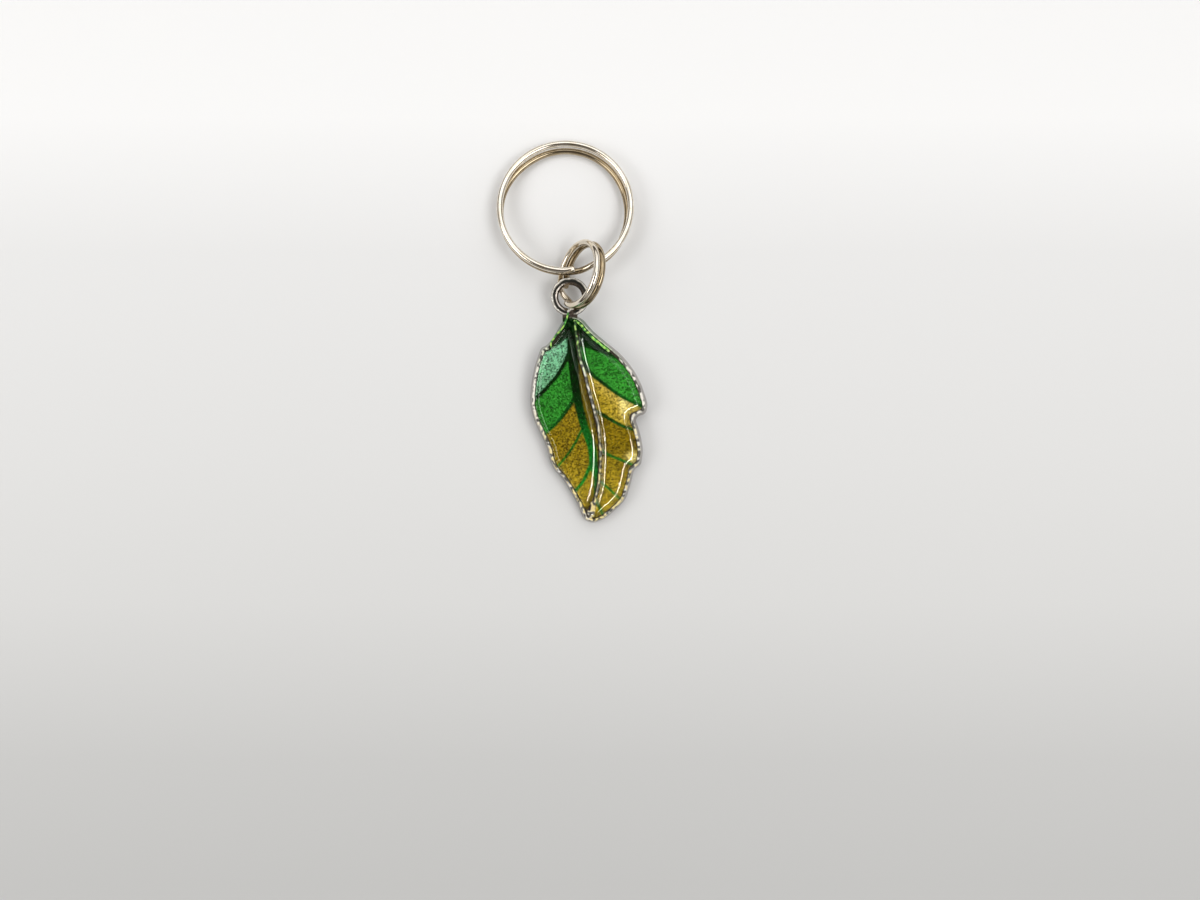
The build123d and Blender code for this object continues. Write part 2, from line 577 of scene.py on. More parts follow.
@dataclass(frozen=True)
class ClearResin:
    """Clear glossy resin that casts no shadow, so that the lamps reach the print."""

    name: str = "clear_resin"
    colour: Colour = (0.97, 0.985, 0.96)
    ior: float = 1.30
    roughness: float = 0.02
    ripple_scale: float = 700.0
    ripple_strength: float = 0.03
    ripple_depth: float = 0.0001

    def material(self) -> Material:
        """Builds the material.

        Returns:
            The material.
        """
        looks = {"Base Color": (*self.colour, 1.0), "Roughness": self.roughness, "IOR": self.ior}
        surface = Surface(self.name, looks | {"Transmission Weight": 1.0})
        ripple = use_effect(surface, Effect.CAST, self.ripple_scale, 1.0)
        surface.bump(ripple["Height"], self.ripple_strength, self.ripple_depth)
        path = surface.add("ShaderNodeLightPath")
        clear = surface.add("ShaderNodeBsdfTransparent")
        joined = surface.add("ShaderNodeMixShader")
        sources = (path.outputs["Is Shadow Ray"], surface.shader.outputs[0], clear.outputs[0])
        for source, target in zip(sources, joined.inputs):
            surface.link(source, target)
        surface.link(joined.outputs[0], surface.out.inputs[0])
        return surface.material


# The charm's own plane


@dataclass(frozen=True)
class CharmPlane:
    """Plane of the charm's back, with its origin under the middle of the eye."""

    origin: Point2 = (0.5016, -9.1375)
    rise: float = 0.0699
    tilt: float = 3.82
    leaf_width: float = 12.0
    leaf_length: float = 21.1
    eye_to_tip: float = 22.92

    def matrix(self) -> Matrix:
        """Turns charm millimetres into metres of the frame.

        Returns:
            The transform.
        """
        turn = Matrix.Rotation(radians(self.tilt), 4, "X")
        shift = Matrix.Translation(Vector((*self.origin, self.rise)) * MM)
        return shift @ turn @ Matrix.Scale(MM, 4)

    def place(self, x: float, y: float, height: float) -> Vector:
        """Point above the charm's back, in metres."""
        return self.matrix() @ Vector((x, y, height))

    def line(self, shares: Line) -> Points:
        """Points of the charm from shares of its width and length."""
        return [Vector((x * self.leaf_width, y * self.leaf_length - self.eye_to_tip)) for x, y in shares]

    def share_y(self, spot: Vector) -> float:
        """Share of the leaf's length at a spot, 0 at the tip and 1 at the neck."""
        return (spot.y + self.eye_to_tip) / self.leaf_length

    def loops(self, node: str, height: float) -> list[Points]:
        """Closed outlines of a node's flat face, the longest first and all anticlockwise.

        Args:
            node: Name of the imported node.
            height: Height of the face above the charm's back.

        Returns:
            The outlines as flat points.
        """
        back = self.matrix().inverted()
        shell = bmesh.new()
        shell.from_mesh(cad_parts[node].data)
        bmesh.ops.remove_doubles(shell, verts=shell.verts, dist=0.000001)
        level = {v for v in shell.verts if abs((back @ v.co).z - height) < 0.002}
        flat = {f for f in shell.faces if all(v in level for v in f.verts)}
        ways: dict[int, list[int]] = {}
        for edge in shell.edges:
            if sum(f in flat for f in edge.link_faces) == 1:
                first, second = (v.index for v in edge.verts)
                ways.setdefault(first, []).append(second)
                ways.setdefault(second, []).append(first)
        shell.verts.ensure_lookup_table()
        found: list[Points] = []
        while ways:
            start = next(iter(ways))
            chain, here = [start], start
            while ways.get(here):
                step = ways[here].pop()
                ways[step].remove(here)
                if step == start:
                    break
                chain.append(step)
                here = step
            ways = {k: v for k, v in ways.items() if v}
            points = [(back @ shell.verts[i].co).to_2d() for i in chain]
            area = sum(a.x * b.y - b.x * a.y for a, b in zip(points, points[1:] + points[:1]))
            found.append(points if area > 0 else points[::-1])
        shell.free()
        return sorted(found, key=lambda loop: -sum(run_lengths(loop + loop[:1])))


CHARM = CharmPlane()


# Wire rings


@dataclass
class WoundRing:
    """Split ring, a body of its own: two flat turns of round wire, joined by a jog between its ends."""

    node: str
    centre: Point3
    normal: Point3
    radius: float
    jog_angle: float
    jog_length: float
    hand: int
    wire_radius: float = 0.316
    layer_offset: float = 0.33
    end_gap: float = 0.25
    steps: int = 260
    sides: int = 28
    curl: float = 0.0
    curl_angle: float = 0.16
    spread: float = 0.0
    spread_in: Point2 = (-1.03, 0.6)
    spread_out: Point2 = (2.1, 3.3)
    # Painted shade: the lower turn's colour is darkened for the shade under the upper turn.
    lower_turn_painted_shade: Colour = (0.50, 0.44, 0.34)
    cap: Line = ((0.0, 0.45), (0.02, 0.72), (0.07, 0.9), (0.16, 1.0))

    @cached_property
    def axes(self) -> tuple[Vector, Vector, Vector]:
        """Axes of the ring's plane.

        Returns:
            Two in the plane, and the one along its normal.
        """
        up = Vector(self.normal).normalized()
        side = Vector((0, 1, 0)).cross(up).normalized()
        return side, up.cross(side), up

    @cached_property
    def angles(self) -> tuple[float, float, float, float]:
        """Angles that bound the wire's stretches.

        Returns:
            Its start, the foot and the top of its jog, and its end.
        """
        jog = self.jog_length / self.radius
        gap = self.end_gap / self.radius
        foot = radians(self.jog_angle) + 2 * pi
        top = foot + jog
        return foot - 2 * pi + jog + gap, foot, top, top + 2 * pi - jog - gap

    def middle(self, angle: float) -> Vector:
        """Middle of the wire, with the lower turn spread inward and the end curled in.

        Args:
            angle: Angle about the ring's axis.

        Returns:
            The point in millimetres.
        """
        side, across, up = self.axes
        _, foot, top, finish = self.angles
        lift = self.curl * soft_step(finish - self.curl_angle, finish, angle)
        inset = self.spread * soft_step(*self.spread_in, angle) * (1 - soft_step(*self.spread_out, angle))
        flat = side * cos(angle) + across * self.hand * sin(angle)
        height = self.layer_offset * (2 * soft_step(foot, top, angle) - 1)
        return Vector(self.centre) + flat * (self.radius - inset - lift) + up * height

    def rings(self) -> list[Point2]:
        """Cross-sections along the wire, narrower at its rounded ends.

        Returns:
            The angle of each and its share of the radius.
        """
        start, _, _, finish = self.angles
        places = [(start + back / self.radius, share) for back, share in self.cap]
        length = finish - start - 2 * self.cap[-1][0] / self.radius
        first = places[-1][0]
        places += [(first + length * k / self.steps, 1.0) for k in range(1, self.steps)]
        return places + [(finish - back / self.radius, share) for back, share in self.cap[::-1]]

    def build(self, material: Material) -> Object:
        """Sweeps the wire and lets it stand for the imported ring.

        Args:
            material: Finish of the wire.

        Returns:
            The wire's object.
        """
        _, foot, top, _ = self.angles
        verts: Points = []
        colours: list[Colour] = []
        places = self.rings()
        for angle, share in places:
            middle = self.middle(angle)
            along = (self.middle(angle + 0.001) - self.middle(angle - 0.001)).normalized()
            out = (middle - Vector(self.centre)).normalized()
            out = (out - along * out.dot(along)).normalized()
            other = along.cross(out)
            for k in range(self.sides):
                turn = 2 * pi * k / self.sides
                offset = (out * cos(turn) + other * sin(turn)) * self.wire_radius * share
                verts.append((middle + offset) * MM)
            # Painted shade on the lower turn, fading out over the jog to the plain upper turn.
            colours += [blend(self.lower_turn_painted_shade, WHITE, soft_step(foot, top, angle))] * self.sides
        faces = band_faces(len(places), self.sides, True)
        faces.append(tuple(range(self.sides))[::-1])
        faces.append(tuple(len(verts) - self.sides + k for k in range(self.sides)))
        piece = mesh_piece(f"{self.node}_wire", verts, faces, self.node)
        write_colours(piece, "tint_and_painted_shade", colours)
        piece.data.materials.append(material)
        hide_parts(self.node)
        return piece


# Raised metal of the leaf


@dataclass(frozen=True)
class Bead:
    """Half-round ridge with an uneven, grainy top."""

    width: float
    height: float
    unevenness: float = 0.25
    end_flare: float = 0.0
    step: float = 0.06
    sides: int = 6
    sunk: float = 0.02
    lump_scale: float = 3.1
    grain_scale: float = 8.0
    drift_scale: float = 2.3
    drift_share: float = 0.25

    def build(self, name: str, path: Points, base: float) -> Object:
        """Sweeps the ridge along a flat line.

        Args:
            name: Name of the piece.
            path: Points of its middle line on the charm's plane.
            base: Height of its foot above the charm's back.

        Returns:
            The ridge's object.
        """
        points = resample(path, self.step, False)
        verts: Points = []
        count = len(points)
        for index, point in enumerate(points):
            along = (points[min(index + 1, count - 1)] - points[max(index - 1, 0)]).normalized()
            across = Vector((-along.y, along.x))
            lump = noise_at(point, self.width, self.lump_scale)
            fine = noise_at(point, 3.0, self.grain_scale)
            swell = 1 + self.unevenness * (lump + 1.2 * fine)
            swell += self.end_flare * soft_step(0.95, 1.0, index / count)
            drift = across * self.width * self.drift_share * noise_at(point, 7.0, self.drift_scale)
            end = min(1.0, 0.3 + 0.35 * min(index, count - 1 - index))
            for k in range(self.sides + 1):
                turn = pi * k / self.sides
                reach = -cos(turn) * self.width / 2 * (0.7 + 0.3 * swell) * end
                lift = sin(turn) * self.height * swell * end
                spot = point + drift + across * reach
                verts.append(CHARM.place(spot.x, spot.y, base + lift - self.sunk * (k in (0, self.sides))))
        return mesh_piece(name, verts, band_faces(count, self.sides + 1, False), "charm")


@dataclass(frozen=True)
class Ridge:
    """One raised line of the casting.

    Its depth is how dark its dark grains are, greenness how green it is near the neck, and cut how
    far the dark grains spread. The dark grains are painted reflection: the dark surroundings that the
    rough top would mirror, painted into its colour.
    """

    name: str
    bead: Bead
    line: Points
    base: float
    depth: float
    greenness: float = 0.0
    cut: float = 0.0


@dataclass(frozen=True)
class LeafCasting:
    """Gunmetal casting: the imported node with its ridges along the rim, the midrib and the eye.

    Where the ridges on the rim start and end is given in shares of the leaf's length.
    """

    rim_height: float = 1.2
    outline_step: float = 0.12
    left_start: float = 0.85
    right_end: float = 0.80
    glitter_start: float = 0.83
    midrib_line: Line = (
        (0.04, 0.975), (0.048, 0.925), (0.058, 0.885), (0.081, 0.792), (0.128, 0.713),
        (0.16, 0.629), (0.206, 0.54), (0.242, 0.45), (0.257, 0.356), (0.256, 0.276),
        (0.243, 0.186), (0.212, 0.11), (0.2, 0.045), (0.19, 0.022),
    )
    green_line: Line = (
        (-0.011, 1.01), (-0.03, 0.975), (-0.051, 0.941), (-0.08, 0.921), (-0.115, 0.905),
        (-0.16, 0.864), (-0.163, 0.85), (-0.151, 0.838),
    )
    fill_line: Line = ((0.19, 0.1), (0.184, 0.06), (0.17, 0.035))
    tip_line: Line = ((0.148, 0.055), (0.165, 0.034), (0.188, 0.016))
    neck_line: Line = ((-0.022, 1.01), (0.004, 1.026), (0.034, 1.03))
    neck_height: float = 0.89
    eye_rim_radius: float = 1.83
    eye_groove_radius: float = 1.61
    eye_rim_height: float = 0.65
    plate: Colour = (1.0, 0.98, 0.94)
    # Painted dark reflection, laid on the ridges as black grains.
    painted_dark_reflection: Colour = (0.02, 0.02, 0.015)
    leaf_green: Colour = (0.10, 0.62, 0.10)
    lime: Colour = (0.62, 0.95, 0.22)
    gold: Colour = (1.0, 0.86, 0.42)

    def ridges(self) -> list[Ridge]:
        """Lays out the raised lines.

        Returns:
            Those on the rim and the midrib, then those of the eye and the neck.
        """
        outline = CHARM.loops("leaf_casting", self.rim_height)[0]
        outer = smoothed(resample(outline, self.outline_step, True), 2, True)
        neck = max(range(len(outer)), key=lambda k: outer[k].y)
        outer = outer[neck:] + outer[:neck]
        shares = [CHARM.share_y(point) for point in outer]
        left = next(k for k, share in enumerate(shares) if share < self.left_start)
        right = max(k for k, share in enumerate(shares) if share < self.right_end)
        shoulder = next(k for k in range(right, len(outer)) if shares[k] > self.glitter_start)
        glitter = moved_inward(outer, 0.27)[shoulder:-3]
        green = smoothed(resample(CHARM.line(self.green_line), 0.1, False), 3, False)
        midrib = smoothed(resample(CHARM.line(self.midrib_line), 0.12, False), 6, False)
        circle = [Vector((cos(k * pi / 30), sin(k * pi / 30))) for k in range(-13, 46)]
        rim = [point * self.eye_rim_radius for point in circle]
        groove_shade = [point * self.eye_groove_radius for point in circle]
        top, eye = self.rim_height - 0.01, self.eye_rim_height
        return [
            Ridge("glitter_ridge", Bead(0.26, 0.10, 0.6), glitter, top, 0.8, 1.0),
            Ridge("tip_fill", Bead(0.34, 0.08, 0.6), CHARM.line(self.fill_line), top, 0.95),
            Ridge("rim_ridge", Bead(0.25, 0.11, 0.5), moved_inward(outer, 0.13)[left:right], top, 0.9, 0.2),
            Ridge("tip_ridge", Bead(0.34, 0.12, 0.6), CHARM.line(self.tip_line), top, 0.9),
            Ridge("rim_edge", Bead(0.09, 0.04, 0.1), moved_inward(outer, 0.035)[left:], top, 0.35, 0.25),
            Ridge("green_ridge", Bead(0.17, 0.10), green, top, 0.7, 1.0),
            Ridge("midrib_ridge", Bead(0.22, 0.13, 0.6, 0.6), midrib, top, 0.9, 0.9, 0.1),
            Ridge("eye_rim", Bead(0.16, 0.045, 0.15), rim, eye, 0.4),
            # Painted shade: an all-black ring that stands for the dark hollow of the eye's step.
            Ridge("eye_groove_painted_shade", Bead(0.24, 0.02, 0.1), groove_shade, eye, 1.0, cut=1.5),
            Ridge("neck_glint", Bead(0.26, 0.09, 0.6), CHARM.line(self.neck_line), self.neck_height, 0.1),
        ]

    def tint_and_painted_shade(self, piece: Object, ridge: Ridge) -> None:
        """Breaks a ridge into bright grains and dark grains of painted reflection, green near the neck and warm
        near the tip.

        Args:
            piece: The ridge's object.
            ridge: What it is like.
        """
        back = CHARM.matrix().inverted()
        colours: list[Colour] = []
        for vertex in piece.data.vertices:
            spot = back @ vertex.co
            share = CHARM.share_y(spot)
            patch = noise_at(spot, 1.0, 1.6)
            fine = noise_at(spot, 5.0, 3.2)
            # Share of bright metal; the rest is painted dark reflection.
            bright = soft_step(ridge.cut - 0.16, ridge.cut + 0.06, fine + 0.25 * patch)
            green = ridge.greenness * soft_step(0.70, 0.84, share + 0.08 * patch)
            warm = soft_step(0.62, 0.30, share) * soft_step(-0.3, 0.3, patch + fine)
            colour = blend(self.plate, self.gold, warm)
            colour = blend(colour, blend(self.leaf_green, self.lime, soft_step(-0.1, 0.3, fine)), green)
            colours.append(blend(blend(colour, self.painted_dark_reflection, ridge.depth), colour, bright))
        write_colours(piece, "tint_and_painted_shade", colours)

    def build(self, skin: Material, grain: Material) -> None:
        """Dresses the casting and adds its ridges.

        Args:
            skin: Finish of the plated casting.
            grain: Finish of the grainy raised lines.
        """
        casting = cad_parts["leaf_casting"]
        casting.data.materials.clear()
        casting.data.materials.append(skin)
        for ridge in self.ridges():
            piece = ridge.bead.build(ridge.name, ridge.line, ridge.base)
            self.tint_and_painted_shade(piece, ridge)
            piece.data.materials.append(grain)


# Printed cells


@dataclass(frozen=True)
class Vein:
    """A printed vein: a line whose width and tone change along it, from 0, dark, to 1, mid green."""

    points: Line
    width: float
    end_width: float
    start_tone: float = 0.0
    end_tone: float = 0.0

    @cached_property
    def line(self) -> Points:
        """The smoothed line on the charm's plane."""
        return smoothed(resample(CHARM.line(self.points), 0.15, False), 8, False)

    def cover(self, spot: Vector, edge: float) -> tuple[float, float]:
        """How much of the vein lies over a spot, and its tone there.

        Args:
            spot: Point on the charm's plane.
            edge: Softness of the vein's edge.

        Returns:
            Cover from 0 to 1, and the tone.
        """
        best, where = inf, 0.0
        last = len(self.line) - 1
        for index in range(last):
            share, away = from_run(spot, self.line[index], self.line[index + 1])
            if away.length < best:
                best, where = away.length, (index + share) / last
        half = (self.width + (self.end_width - self.width) * where) / 2
        tone = self.start_tone + (self.end_tone - self.start_tone) * soft_step(0.45, 1.0, where)
        return 1 - soft_step(half - edge, half + edge, best), tone

    def side(self, spot: Vector) -> float:
        """Distance from the vein, positive on the left of its way, its ends drawn on.

        Args:
            spot: Point on the charm's plane.

        Returns:
            The distance with its sign.
        """
        best, value = inf, 0.0
        last = len(self.line) - 2
        for index in range(last + 1):
            start, end = self.line[index], self.line[index + 1]
            _, away = from_run(spot, start, end, 0.0 if index else -9.0, 1.0 if index < last else 9.0)
            if away.length < best:
                best, run = away.length, end - start
                value = copysign(best, run.x * away.y - run.y * away.x)
        return value


@dataclass(frozen=True)
class PrintedCells:
    """Glitter print of both cells: mint, green and gold fields with dark veins.

    The first two veins of each cell part its fields, and the last one lies under the rim. A painted
    highlight is a pale patch that stands for the lamp caught by the glitter under the resin: its place
    in shares of the leaf, its width, height and strength.
    """

    level: float = 0.635
    spacing: float = 0.11
    edge: float = 0.06
    mint_top: Colour = linear(98, 150, 118)
    mint: Colour = linear(91, 141, 106)
    green: Colour = linear(41, 111, 35)
    deep_green: Colour = linear(27, 92, 27)
    gold: Colour = linear(132, 111, 26)
    bright_gold: Colour = linear(156, 134, 58)
    brown_gold: Colour = linear(102, 83, 9)
    dark_vein: Colour = linear(2, 28, 3)
    mid_vein: Colour = linear(18, 100, 28)
    painted_highlight_gold: Colour = linear(236, 218, 140)
    painted_highlights: tuple[tuple[float, ...], ...] = (
        (0.452, 0.570, 0.35, 1.0, 0.75),
        (0.510, 0.590, 0.7, 0.45, 0.45),
        (0.528, 0.313, 0.55, 0.45, 0.7),
    )
    main_vein: Vein = Vein((
        (0.03, 0.96), (0.014, 0.911), (0.014, 0.817), (0.03, 0.724), (0.05, 0.63), (0.075, 0.559),
        (0.104, 0.489), (0.141, 0.427), (0.178, 0.37), (0.191, 0.314), (0.187, 0.26),
    ), 1.0, 0.75, 0.0, 0.9)
    left_veins: tuple[Vein, ...] = (
        Vein((
            (0.012, 0.84), (-0.061, 0.752), (-0.111, 0.705), (-0.177, 0.663), (-0.26, 0.611), (-0.32, 0.575),
        ), 0.42, 0.36),
        Vein((
            (0.045, 0.61), (-0.012, 0.555), (-0.07, 0.507), (-0.128, 0.47), (-0.21, 0.425),
        ), 0.42, 0.26, 0.2, 0.6),
        Vein(((0.11, 0.46), (0.054, 0.394), (0.004, 0.347), (-0.046, 0.309), (-0.1, 0.27)), 0.3, 0.2, 0.6, 1.0),
        Vein(((0.187, 0.29), (0.153, 0.252), (0.12, 0.204), (0.053, 0.152), (0.02, 0.12)), 0.42, 0.3, 0.9, 1.0),
        Vein(((0.191, 0.314), (0.216, 0.228), (0.203, 0.133), (0.19, 0.06)), 0.6, 0.26, 0.9, 0.8),
        Vein(((0.012, 0.945), (-0.045, 0.91), (-0.1, 0.873), (-0.175, 0.832)), 1.25, 0.5),
    )
    right_veins: tuple[Vein, ...] = (
        Vein((
            (0.08, 0.81), (0.113, 0.785), (0.146, 0.742), (0.204, 0.705), (0.278, 0.672), (0.352, 0.639),
            (0.435, 0.606), (0.518, 0.583), (0.6, 0.56),
        ), 0.42, 0.3, 0.1, 0.5),
        Vein((
            (0.075, 0.68), (0.112, 0.606), (0.154, 0.578), (0.22, 0.545), (0.295, 0.512), (0.378, 0.484),
            (0.461, 0.46), (0.55, 0.44),
        ), 0.42, 0.3, 0.1, 0.4),
        Vein((
            (0.25, 0.36), (0.303, 0.333), (0.353, 0.318), (0.436, 0.299), (0.53, 0.28),
        ), 0.32, 0.26, 0.7, 0.9),
        Vein(((0.25, 0.21), (0.278, 0.185), (0.32, 0.166), (0.362, 0.142), (0.42, 0.11)), 0.3, 0.22, 0.8, 0.9),
        Vein(((0.22, 0.12), (0.236, 0.09), (0.262, 0.052), (0.27, 0.03)), 0.3, 0.26, 0.7, 0.9),
        Vein((
            (0.05, 0.9), (0.072, 0.873), (0.204, 0.845), (0.303, 0.817), (0.385, 0.789), (0.451, 0.756),
        ), 1.0, 0.15, 0.0, 0.3),
    )

    def over(self, distance: float) -> float:
        """Goes softly from 0 to 1 where a distance passes 0."""
        return soft_step(-self.edge, self.edge, distance)

    def left_field(self, spot: Vector, y: float, drift: float) -> Colour:
        """Mint, green and gold of the left cell, before the veins.

        Args:
            spot: Point on the charm's plane.
            y: Share of the leaf's length there.
            drift: Slow change of tone, from 0 to 1.

        Returns:
            The colour.
        """
        mint = blend(self.mint, self.mint_top, soft_step(0.66, 0.84, y))
        green = blend(self.green, self.deep_green, 0.5 * drift)
        gold = blend(self.brown_gold, self.gold, max(soft_step(0.42, 0.16, y), 0.5 * drift))
        above_first, above_second = (-vein.side(spot) for vein in self.left_veins[:2])
        main = self.main_vein.side(spot)
        beside_main = soft_step(self.edge, -self.edge, main)
        colour = blend(gold, green, self.over(above_second) * beside_main)
        colour = blend(colour, mint, self.over(above_first) * beside_main)
        sliver = self.over(main) * soft_step(0.35, 0.5, y)
        return blend(colour, blend(self.brown_gold, self.dark_vein, 0.25), sliver)

    def right_field(self, spot: Vector, y: float, drift: float) -> Colour:
        """Green and gold of the right cell, before the veins.

        Args:
            spot: Point on the charm's plane.
            y: Share of the leaf's length there.
            drift: Slow change of tone, from 0 to 1.

        Returns:
            The colour.
        """
        x = spot.x / CHARM.leaf_width
        first, second = (vein.side(spot) for vein in self.right_veins[:2])
        green = blend(self.green, self.deep_green, 0.7 * drift * soft_step(0.60, 0.85, y))
        brightness = soft_step(-1.5, 0.0, first) * 0.8 + 0.3 * soft_step(0.25, 0.5, x)
        upper = blend(self.gold, self.bright_gold, brightness)
        lower = blend(self.brown_gold, self.gold, soft_step(0.36, 0.16, y))
        colour = blend(lower, upper, self.over(second))
        # Painted highlights: pale patches where the glitter under the resin would catch the lamp.
        for highlight_x, highlight_y, wide, high, strength in self.painted_highlights:
            off = ((x - highlight_x) * CHARM.leaf_width / wide) ** 2 + ((y - highlight_y) * CHARM.leaf_length / high) ** 2
            colour = blend(colour, self.painted_highlight_gold, strength * exp(-off))
        colour = blend(colour, green, self.over(first))
        return blend(colour, self.dark_vein, soft_step(0.0, 0.25, self.right_veins[-1].side(spot)))

    def paint(self, side: str, spot: Vector) -> Colour:
        """Printed colour at a spot of a cell.

        Args:
            side: The cell, left or right.
            spot: Point on the charm's plane.

        Returns:
            The colour.
        """
        left = side == "left"
        drift = 0.5 + 0.5 * noise_at(spot, 2.0, 0.55)
        colour = (self.left_field if left else self.right_field)(spot, CHARM.share_y(spot), drift)
        for vein in (*self.left_veins, self.main_vein) if left else self.right_veins:
            cover, tone = vein.cover(spot, self.edge)
            colour = blend(colour, blend(self.dark_vein, self.mid_vein, tone), cover)
        return colour

    def build(self, material: Material) -> None:
        """Makes one painted sheet in each cell, in place of its packed layer.

        Args:
            material: Finish of the print.
        """
        for side in ("left", "right"):
            node = f"print_{side}"
            outline = CHARM.loops(node, self.level)[0]
            points, faces = filled_cell(outline, self.spacing, 0.0)
            verts = [CHARM.place(p.x, p.y, self.level) for p in points]
            piece = mesh_piece(f"{node}_colours", verts, faces, "charm")
            write_colours(piece, "paint", [self.paint(side, point) for point in points])
            piece.data.materials.append(material)
            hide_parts(node)


def filled_cell(outline: Points, spacing: float, shoulder: float) -> tuple[Points, list[Face]]:
    """Fills a closed outline with a fine mesh of nearly even triangles.

    Args:
        outline: Anticlockwise corners.
        spacing: Distance between the points inside.
        shoulder: Width along the edge that gets rows of its own, or 0.

    Returns:
        The points, the outline's first, and the faces.
    """
    row_share, clear_share, stray_share = 0.866, 0.6, 0.3
    edge = resample(outline, spacing, True)
    tree = KDTree(len(edge))
    for index, point in enumerate(edge):
        tree.insert((point.x, point.y, 0), index)
    tree.balance()
    low_x, high_x = min(p.x for p in edge), max(p.x for p in edge)
    low_y, high_y = min(p.y for p in edge), max(p.y for p in edge)
    inside: Points = []
    for row in range(int((high_y - low_y) / (spacing * row_share)) + 1):
        y = low_y + row * spacing * row_share
        crossings = [
            a.x + (y - a.y) / (b.y - a.y) * (b.x - a.x)
            for a, b in zip(edge, edge[1:] + edge[:1])
            if (a.y > y) != (b.y > y)
        ]
        for column in range(int((high_x - low_x) / spacing) + 1):
            x = low_x + (column + 0.5 * (row % 2)) * spacing
            if sum(c < x for c in crossings) % 2:
                if tree.find((x, y, 0))[2] > max(spacing * clear_share, shoulder):
                    inside.append(Vector((x, y)))
    rows = max(2, round(shoulder / (spacing * clear_share))) if shoulder else 0
    for row in range(1, rows + 1):
        depth = shoulder * row / rows
        for point in moved_inward(edge, depth):
            if abs(tree.find((point.x, point.y, 0))[2] - depth) < spacing * stray_share:
                inside.append(point)
    count = len(edge)
    loop = [(i, (i + 1) % count) for i in range(count)]
    found = delaunay_2d_cdt(edge + inside, loop, [tuple(range(count))], 1, 1e-6)
    return [Vector(p) for p in found[0]], [tuple(f) for f in found[2]]


# Resin


@dataclass(frozen=True)
class ResinDomes:
    """Clear domes, level in their middle and drawn down to the rim by surface tension."""

    foot: float = 0.65
    wall_top: float = 1.08
    crown: float = 0.42
    reach: float = 0.26
    spacing: float = 0.16
    shoulder: float = 0.55

    def build(self, material: Material) -> list[Object]:
        """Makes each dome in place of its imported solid.

        Args:
            material: Finish of the resin.

        Returns:
            The left and the right dome.
        """
        made: list[Object] = []
        for side in ("left", "right"):
            node = f"dome_{side}"
            outline = CHARM.loops(node, self.foot)[0]
            points, faces = filled_cell(outline, self.spacing, self.shoulder)
            count, total = len(resample(outline, self.spacing, True)), len(points)
            edge = points[:count]
            verts: Points = []
            for index, point in enumerate(points):
                away = 0.0
                if index >= count:
                    away = min(from_run(point, edge[k - 1], edge[k])[1].length for k in range(count))
                lift = self.crown * (1 - exp(-away / self.reach))
                verts.append(CHARM.place(point.x, point.y, self.wall_top + lift))
            verts += [CHARM.place(p.x, p.y, self.foot) for p in points]
            shell = faces + [tuple(total + i for i in f[::-1]) for f in faces]
            for k in range(count):
                after = (k + 1) % count
                shell.append((k, total + k, total + after, after))
            piece = mesh_piece(f"{node}_resin", verts, shell, "charm")
            self.crease(piece, count, total)
            piece.data.materials.append(material)
            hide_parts(node)
            made.append(piece)
        return made

    def crease(self, piece: Object, count: int, total: int) -> None:
        """Keeps the dome's edge and foot crisp in the shading.

        Args:
            piece: The dome.
            count: Points of its outline.
            total: Points of its upper side.
        """
        for edge in piece.data.edges:
            low, high = sorted(edge.vertices)
            if high < count or total <= low <= high < total + count:
                edge.use_edge_sharp = True


# Stage, lamps and camera


@dataclass(frozen=True)
class Lamp:
    """Area lamp that faces the charm. Its power is in watts."""

    name: str
    spot: Point3
    size: Point2
    power: float
    colour: Colour
    aim: Point3 = (1.0, -12.0, 0.0)

    def build(self) -> Object:
        """Adds the lamp to the scene.

        Returns:
            The lamp.
        """
        data = bpy.data.lights.new(self.name, "AREA")
        data.shape = "RECTANGLE"
        data.size, data.size_y = (side * MM for side in self.size)
        data.energy = self.power
        data.color = self.colour
        lamp = placed(self.name, data)
        lamp.location = Vector(self.spot) * MM
        way = Vector(self.aim) * MM - lamp.location
        lamp.rotation_euler = way.to_track_quat("-Z", "Y").to_euler()
        return lamp


